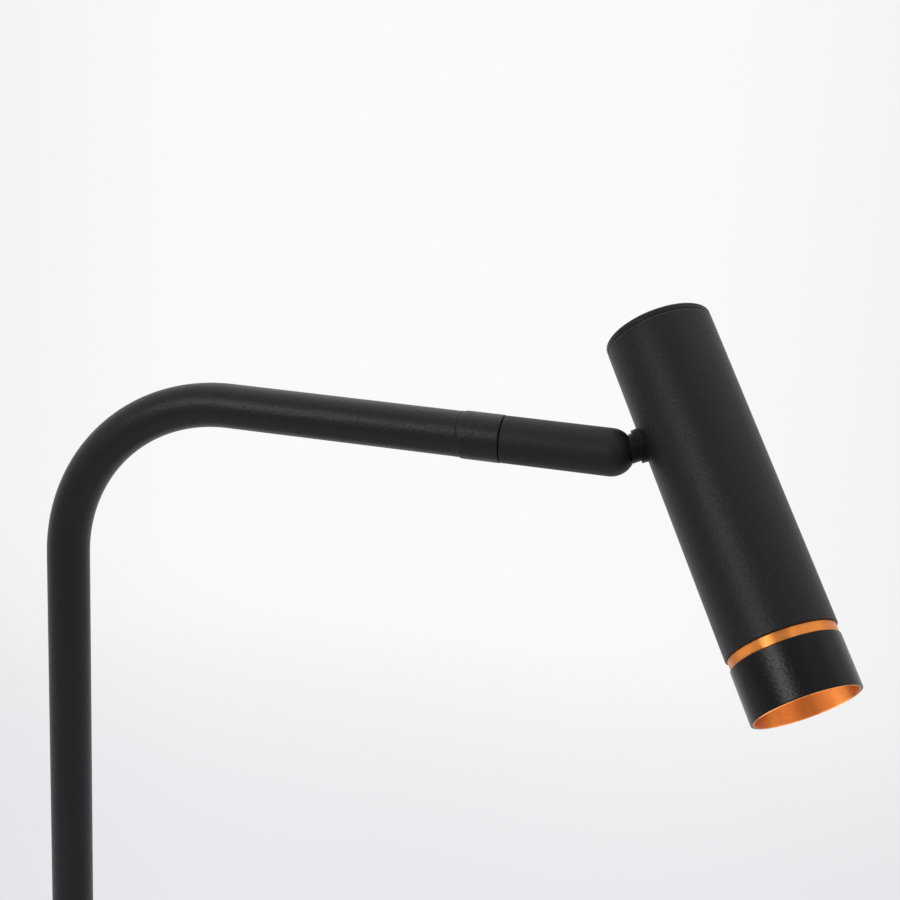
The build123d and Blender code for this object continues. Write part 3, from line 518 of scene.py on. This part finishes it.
barrel = {"start": 158.5, "pivot": 206.5, "radius": 10.6, "edge": 0.35, "spindleHole": 4.02, "spindleEnd": 169.8,
          "leadHole": 2.8, "leadEnd": 201.6, "slot": 8.4, "slotWall": 3.7, "eye": 6.2, "pin": 1.02, "pinCircle": 7.5,
          "screwHole": 2.02, "screwReach": 16.2, "screwHead": 3.7, "screwSeat": 7.0, "headReach": 8, "pinReach": 10.4}
outline = [(0, barrel["leadEnd"]), (barrel["leadHole"], barrel["leadEnd"]), (barrel["leadHole"], barrel["spindleEnd"]),
           (barrel["spindleHole"], barrel["spindleEnd"]), (barrel["spindleHole"], barrel["start"]),
           (barrel["radius"] - barrel["edge"], barrel["start"]), (barrel["radius"] - 0.1, barrel["start"] + 0.1),
           (barrel["radius"], barrel["start"] + barrel["edge"])]
outline += corner((0, barrel["pivot"]), barrel["radius"], 0, 84, 28) + [(0, barrel["pivot"] + barrel["radius"])]
swivelBarrel = turnOnLathe("swivelBarrel", outline, sides=160, closed=False)
upright = Matrix.Translation((0, 0, barrel["pivot"] * mm))
acrossSlot = upright @ Matrix.Rotation(math.radians(90), 4, "X")
pickNothing()
bpy.ops.mesh.primitive_cube_add(size=1)
slotCutter = bpy.context.object
# on the lathe the barrel stands along Z, so the side that opens upwards on the arm is its -X side here
reach = 30.0
slotCutter.matrix_world = (Matrix.Translation(((barrel["slotWall"] - reach) / 2 * mm, 0,
                                               (barrel["pivot"] + (reach - barrel["slotWall"]) / 2) * mm))
                           @ Matrix.Diagonal(((reach + barrel["slotWall"]) * mm, barrel["slot"] * mm,
                                              (reach + barrel["slotWall"]) * mm, 1)))
sunkHead = Matrix.Translation((0, 0, -(barrel["screwSeat"] + barrel["headReach"] / 2) * mm))
pinPlace = Matrix.Translation((-barrel["pinCircle"] * mm, 0, barrel["start"] * mm))
cutWith(swivelBarrel, [
    slotCutter,
    addRod(barrel["eye"], barrel["slot"], acrossSlot, sides=96),
    addRod(barrel["screwHole"], barrel["screwReach"], acrossSlot, sides=48),
    addRod(barrel["screwHead"], barrel["headReach"], acrossSlot @ sunkHead, sides=48),
    addRod(barrel["pin"], barrel["pinReach"], pinPlace, sides=24),
])
moveTo(swivelBarrel, Matrix.Translation((0, 0, stem["level"] * mm)) @ swivelTurn @ alongArm)
finishPiece(swivelBarrel, "swivel_barrel", "swivel", barrelCoat, smooth=35)


# Head: tube, cap, copper sleeve, front ring and lens

shade = {"radius": 24.2, "wall": 2.2, "top": 47.95, "cap": 3.1, "seam": 0.25, "edge": 0.35, "length": 177.9,
         "ring": 23.7, "ringRadius": 23.8, "ringWall": 0.9, "band": 4.4, "bandRadius": 23.3, "lip": 0.5,
         "throat": 19.4, "sleeveDepth": 12.7, "lens": 2.5, "lensRadius": 21.8, "stud": 4.05, "fit": 0.05,
         "snapLow": -23.0, "snapWidth": 1.3, "snapBite": 0.8, "capEdge": 0.78, "capSpigot": 6.0, "capWall": 3.05,
         "rimHeight": 0.55, "rimWidth": 0.6, "ringEdge": 0.4, "middleRing": 12}
bore = shade["radius"] - shade["wall"]
tubeTop = shade["top"] - shade["cap"]
frontEnd = shade["top"] - shade["length"]
ringTop = frontEnd + shade["ring"]
tubeBottom = ringTop + shade["band"]
lensBottom = tubeBottom + shade["sleeveDepth"]
snapLow = shade["snapLow"]
snapHigh = snapLow + shade["snapWidth"]

headTube = turnOnLathe("headTube", [
    (bore, tubeBottom + 0.2), (bore + 0.2, tubeBottom), (shade["radius"] - shade["edge"], tubeBottom),
    (shade["radius"] - 0.1, tubeBottom + 0.1), (shade["radius"], tubeBottom + shade["edge"]),
    *((shade["radius"], height) for height in (-60, -15, 15)),
    (shade["radius"], tubeTop - shade["edge"]), (shade["radius"] - 0.1, tubeTop - 0.1),
    (shade["radius"] - shade["edge"], tubeTop), (bore + 0.2, tubeTop), (bore, tubeTop - 0.2),
    (bore, snapHigh), (bore + shade["snapBite"], snapHigh), (bore + shade["snapBite"], snapLow),
    (bore, snapLow)], sides=192)
headTube.data.materials.append(headCoat)
# painted highlight on the tube's top edge
paintRimHighlight(headTube, tubeTop - shade["edge"], tubeTop, shade["radius"] - shade["edge"], paintedEdgeHighlight)
studPlace = Matrix.Translation((-shade["radius"] * mm, 0, 0)) @ alongArm
cutWith(headTube, [addRod(shade["stud"], length=12, matrix=studPlace, sides=48)])
moveTo(headTube, headMatrix)
finishPiece(headTube, "head_tube", "head", headCoat)

spigot = bore - shade["fit"]
hollow = bore - shade["capWall"]
spigotEnd = tubeTop - shade["capSpigot"]
sealGroove = (bore - 1.6, tubeTop - 3.85, tubeTop - 2.15)    # floor radius, low and high side
capSide = shade["radius"] - shade["fit"]
seamTop = tubeTop + shade["seam"]
capOutline = [(0, tubeTop + 0.5), (hollow, tubeTop + 0.5), (hollow, spigotEnd), (spigot - 0.2, spigotEnd),
              (spigot, spigotEnd + 0.2), (spigot, sealGroove[1]), (sealGroove[0], sealGroove[1]),
              (sealGroove[0], sealGroove[2]), (spigot, sealGroove[2]), (spigot, seamTop),
              (capSide - 0.25, seamTop), (capSide, seamTop + 0.25)]
capOutline += roundedTop(capSide, shade["top"], shade["capEdge"], steps=6)
capOutline += [(shade["middleRing"], shade["top"]), (0, shade["top"])]
headCap = turnOnLathe("headCap", capOutline, sides=192, closed=False)
headCap.data.materials.append(headCoat)
# painted highlight on the cap's top edge
paintRimHighlight(headCap, shade["top"] - shade["rimHeight"], shade["top"], shade["radius"] - shade["rimWidth"], paintedEdgeHighlight)
moveTo(headCap, headMatrix)
finishPiece(headCap, "head_cap", "head", headCoat)

lipOuter = shade["ringRadius"] - shade["ringWall"] - shade["fit"]
sleeveTaper = ((0.75, 10.5), (1.5, 21))    # how far the sleeve narrows, and how high above the mouth
sleeve = turnOnLathe("copperSleeve", [
    (shade["throat"], lensBottom - 0.05), (bore - 0.1, lensBottom - 0.05), (bore - 0.1, tubeBottom - 0.05),
    (shade["bandRadius"] - 0.25, tubeBottom - 0.05), (shade["bandRadius"], tubeBottom - 0.3),
    (shade["bandRadius"], ringTop), (lipOuter, ringTop), (lipOuter, frontEnd + 0.25),
    (lipOuter - 0.12, frontEnd + 0.05),
    (lipOuter - 0.25, frontEnd), (lipOuter - 0.38, frontEnd + 0.05), (lipOuter - shade["lip"], frontEnd + 0.25),
    *((lipOuter - shade["lip"] - inward, frontEnd + up) for inward, up in sleeveTaper)], sides=192)
moveTo(sleeve, headMatrix)
finishPiece(sleeve, "glare_baffle", "head", copper)

frontRing = turnOnLathe("frontRing", [(lipOuter + 0.05, frontEnd + 0.35), (lipOuter + 0.15, frontEnd + 0.2)]
                        + roundedBottom(shade["ringRadius"], frontEnd + 0.15, shade["ringEdge"])
                        + roundedTop(shade["ringRadius"], ringTop, shade["ringEdge"])
                        + [(lipOuter + 0.15, ringTop), (lipOuter + 0.05, ringTop - 0.1)], sides=192)
moveTo(frontRing, headMatrix)
finishPiece(frontRing, "front_ring", "head", ringCoat)

lensRadius, lensTop, lensEdge = shade["lensRadius"], lensBottom + shade["lens"], 0.3
lensPiece = turnOnLathe("frontLens", [(0, lensBottom), (shade["middleRing"], lensBottom),
                                      (lensRadius - lensEdge, lensBottom), (lensRadius, lensBottom + lensEdge),
                                      (lensRadius, lensTop - lensEdge), (lensRadius - lensEdge, lensTop),
                                      (0, lensTop)], sides=128, closed=False)
moveTo(lensPiece, headMatrix)
finishPiece(lensPiece, "front_lens", "head", lensGlass)


# Camera, floor and light

# metres, degrees and mm
view = {"place": (0.3161, -0.6787, 0.5961), "turn": (74.5419, -2.8827, 15.8034), "lens": 65.32}
cameraData = bpy.data.cameras.new("camera")
cameraData.sensor_width = 36.0
cameraData.lens = view["lens"]
cameraData.clip_start = 0.01
cameraData.clip_end = 50.0
camera = bpy.data.objects.new("camera", cameraData)
camera.location = view["place"]
camera.rotation_euler = [math.radians(a) for a in view["turn"]]
bpy.context.scene.collection.objects.link(camera)
bpy.context.scene.camera = camera

# Lengths in metres. The light falls off in a fan that spreads from "fan"; fanMiddle and fanHalf are slopes in it.
backdrop = {"size": 120.0, "table": "#eeeef2", "sweep": "#fafafa", "edge": "#c9c9cf", "foldStart": 0.25,
            "foldEnd": 0.90, "fan": (0.316, -0.679), "fanMiddle": -0.29, "fanHalf": 0.31, "fanShare": 0.15,
            "matt": 0.25, "mattEnd": 0.75, "frontLevel": 0.55, "ambient": 0.55}


def fallOff(tree, sideways, away, least):
    # how far the light has fallen off towards the sides, as a share of the edge colour
    atLeast = addNode(tree, "ShaderNodeMath", {"operation": "MAXIMUM", 1: least}, {0: away})
    slant = addNode(tree, "ShaderNodeMath", {"operation": "DIVIDE"}, {0: sideways, 1: atLeast.outputs[0]})
    fromMiddle = addNode(tree, "ShaderNodeMath", {"operation": "SUBTRACT", 1: backdrop["fanMiddle"]},
                         {0: slant.outputs[0]})
    spread = addNode(tree, "ShaderNodeMath", {"operation": "ABSOLUTE"}, {0: fromMiddle.outputs[0]})
    share = addNode(tree, "ShaderNodeMapRange",
                    {"interpolation_type": "SMOOTHERSTEP", "From Min": backdrop["fanHalf"] * 0.2,
                     "From Max": backdrop["fanHalf"] * 1.7, "To Max": 2 * backdrop["fanShare"]},
                    {"Value": spread.outputs[0]})
    return share.outputs[0]


def raysThatSeeIt(tree):
    # 1 for camera, reflected and transmitted rays, 0 for those that only carry light; and the ray's own node
    path = addNode(tree, "ShaderNodeLightPath")
    seen = addNode(tree, "ShaderNodeMath", {"operation": "MAXIMUM"},
                   {0: path.outputs["Is Camera Ray"], 1: path.outputs["Is Glossy Ray"]})
    seenToo = addNode(tree, "ShaderNodeMath", {"operation": "MAXIMUM"},
                      {0: seen.outputs[0], 1: path.outputs["Is Transmission Ray"]})
    return seenToo.outputs[0], path


def reflectedLevel(tree, away, path, near, far):
    # reflections find the front of the room dimmer than the lit sweep
    front = addNode(tree, "ShaderNodeMapRange",
                    {"From Min": near, "From Max": far, "To Max": 1 - backdrop["frontLevel"]}, {"Value": away})
    dim = addNode(tree, "ShaderNodeMath", {"operation": "MULTIPLY"},
                  {0: front.outputs[0], 1: path.outputs["Is Glossy Ray"]})
    level = addNode(tree, "ShaderNodeMath", {"operation": "SUBTRACT", 0: 1.0}, {1: dim.outputs[0]})
    return level.outputs[0]


def paleBackdrop():
    # Painted studio sweep: the camera and reflections see its plain colour, other rays a matt floor with shadows.
    # The table is a shade greyer than the sweep behind it, and the light on both falls off towards the sides.
    material, tree, shader = newMaterial("paleBackdrop")
    place = addNode(tree, "ShaderNodeTexCoord")
    split = addNode(tree, "ShaderNodeSeparateXYZ", links={0: place.outputs["Object"]})
    fold = addNode(tree, "ShaderNodeMapRange", {"interpolation_type": "SMOOTHSTEP", "From Min": backdrop["foldStart"],
                                                "From Max": backdrop["foldEnd"]}, {"Value": split.outputs["Y"]})
    colour = addNode(tree, "ShaderNodeMix", {"data_type": "RGBA", 6: hexColour(backdrop["table"]),
                                             7: hexColour(backdrop["sweep"])}, {0: fold.outputs[0]})
    sideways = addNode(tree, "ShaderNodeMath", {"operation": "SUBTRACT", 1: backdrop["fan"][0]},
                       {0: split.outputs["X"]})
    away = addNode(tree, "ShaderNodeMath", {"operation": "SUBTRACT", 1: backdrop["fan"][1]}, {0: split.outputs["Y"]})
    tone = fallOff(tree, sideways.outputs[0], away.outputs[0], least=0.5)
    toned = addNode(tree, "ShaderNodeMix", {"data_type": "RGBA", 7: hexColour(backdrop["edge"])},
                    {0: tone, 6: colour.outputs[2]})
    seen, path = raysThatSeeIt(tree)
    # near the foot a part of the matt floor stays, which carries the shadow
    fromFoot = addNode(tree, "ShaderNodeVectorMath", {"operation": "LENGTH"}, {0: place.outputs["Object"]})
    plain = addNode(tree, "ShaderNodeMapRange", {"From Min": backdrop["mattEnd"] / 3, "From Max": backdrop["mattEnd"],
                                                 "To Min": 1 - backdrop["matt"], "To Max": 1.0},
                    {"Value": fromFoot.outputs["Value"]})
    most = addNode(tree, "ShaderNodeMath", {"operation": "MULTIPLY"}, {0: seen, 1: plain.outputs[0]})
    level = reflectedLevel(tree, split.outputs["Y"], path, near=0.2, far=-0.9)
    glow = addNode(tree, "ShaderNodeEmission", links={"Color": toned.outputs[2], "Strength": level})
    shader.inputs["Base Color"].default_value = hexColour("#f4f4f6")
    shader.inputs["Roughness"].default_value = 0.9
    mix = addNode(tree, "ShaderNodeMixShader", links={0: most.outputs[0], 1: shader.outputs[0], 2: glow.outputs[0]})
    output = next(n for n in tree.nodes if n.type == "OUTPUT_MATERIAL")
    tree.links.new(mix.outputs[0], output.inputs["Surface"])
    return material


pickNothing()
bpy.ops.mesh.primitive_plane_add(size=backdrop["size"], location=(0, 0, 0))
floor = bpy.context.object
floor.name = "floor"
floor.data.materials.append(paleBackdrop())

world = bpy.data.worlds.new("studio")
bpy.context.scene.world = world
world.use_nodes = True
worldTree = world.node_tree
worldTree.nodes.clear()
seen, path = raysThatSeeIt(worldTree)
ambient = addNode(worldTree, "ShaderNodeBackground", {"Color": hexColour("#f3f4f8"), "Strength": backdrop["ambient"]})
roomPlace = addNode(worldTree, "ShaderNodeTexCoord")
roomSplit = addNode(worldTree, "ShaderNodeSeparateXYZ", links={0: roomPlace.outputs["Generated"]})
roomLevel = reflectedLevel(worldTree, roomSplit.outputs["Y"], path, near=0.3, far=-0.8)
roomTone = fallOff(worldTree, roomSplit.outputs["X"], roomSplit.outputs["Y"], least=0.02)
roomColour = addNode(worldTree, "ShaderNodeMix", {"data_type": "RGBA", 6: hexColour(backdrop["sweep"]),
                                                  7: hexColour(backdrop["edge"])}, {0: roomTone})
white = addNode(worldTree, "ShaderNodeBackground", links={"Color": roomColour.outputs[2], "Strength": roomLevel})
worldMix = addNode(worldTree, "ShaderNodeMixShader", links={0: seen, 1: ambient.outputs[0], 2: white.outputs[0]})
addNode(worldTree, "ShaderNodeOutputWorld", links={"Surface": worldMix.outputs[0]})

lamps = {
    "keyLight": {"place": (-0.50, -1.17, 1.01), "aim": (0.15, 0, 0.40), "size": (0.7, 0.42), "watts": 6.5},
    "topLight": {"place": (0.2, 0.3, 1.9), "aim": (0.1, 0, 0.40), "size": (2.4, 2.0), "watts": 8},
    "sideLight": {"place": (1.6, 0.4, 0.9), "aim": (0.2, 0, 0.38), "size": (0.5, 1.2), "watts": 0.6},
    "fillLight": {"place": (0.54, -0.61, 1.36), "aim": (0.28, -0.03, 0.36), "size": (0.14, 0.14), "watts": 0.5,
                  "only": [sleeve]},
    "sparkLight": {"place": (-0.50, -1.17, 1.01), "aim": (0.28, -0.03, 0.36), "size": (0.2, 0.2), "watts": 1.6,
                   "only": [sleeve]},
    "rimLight": {"place": (-0.63, 1.45, 1.50), "aim": (0.24, 0, 0.45), "size": (0.8, 0.8), "watts": 1.2},
}
# Small cards under the mouth light the copper sleeve alone. turn goes round the head from the camera's side,
# and lean is the angle from the head's axis, both in degrees; distance and size are in metres.
cardDistance, cardSize = 0.25, (0.26, 0.26)
mouthCards = {
    "middleCard": {"turn": 0, "lean": 10, "watts": 0.35},
    "leftCard": {"turn": -80, "lean": 40, "watts": 0.35},
    "rightCard": {"turn": 92, "lean": 40, "watts": 0.8},
}
mouthPlace = headMatrix @ Vector((0, 0, frontEnd * mm))
downAxis = -Vector(headAxis)
toCamera = camera.location - mouthPlace
toCamera = (toCamera - toCamera.dot(downAxis) * downAxis).normalized()
sideways = downAxis.cross(toCamera)
for name, settings in mouthCards.items():
    turn, lean = math.radians(settings["turn"]), math.radians(settings["lean"])
    outward = math.cos(turn) * toCamera + math.sin(turn) * sideways
    away = math.cos(lean) * downAxis + math.sin(lean) * outward
    lamps[name] = {"place": tuple(mouthPlace + cardDistance * away), "aim": tuple(mouthPlace), "size": cardSize,
                   "watts": settings["watts"], "only": [sleeve]}
for name, settings in lamps.items():
    lampData = bpy.data.lights.new(name, "AREA")
    lampData.shape = "RECTANGLE"
    lampData.size, lampData.size_y = settings["size"]
    lampData.energy = settings["watts"]
    lamp = bpy.data.objects.new(name, lampData)
    lamp.location = settings["place"]
    lamp.rotation_euler = (Vector(settings["aim"]) - Vector(settings["place"])).to_track_quat("-Z", "Y").to_euler()
    bpy.context.scene.collection.objects.link(lamp)
    if "only" in settings:
        lit = bpy.data.collections.new(name + "Pieces")
        for piece in settings["only"]:
            lit.objects.link(piece)
        lamp.light_linking.receiver_collection = lit
bpy.context.scene.view_settings.view_transform = "Standard"
print("stage: camera, floor and light set")
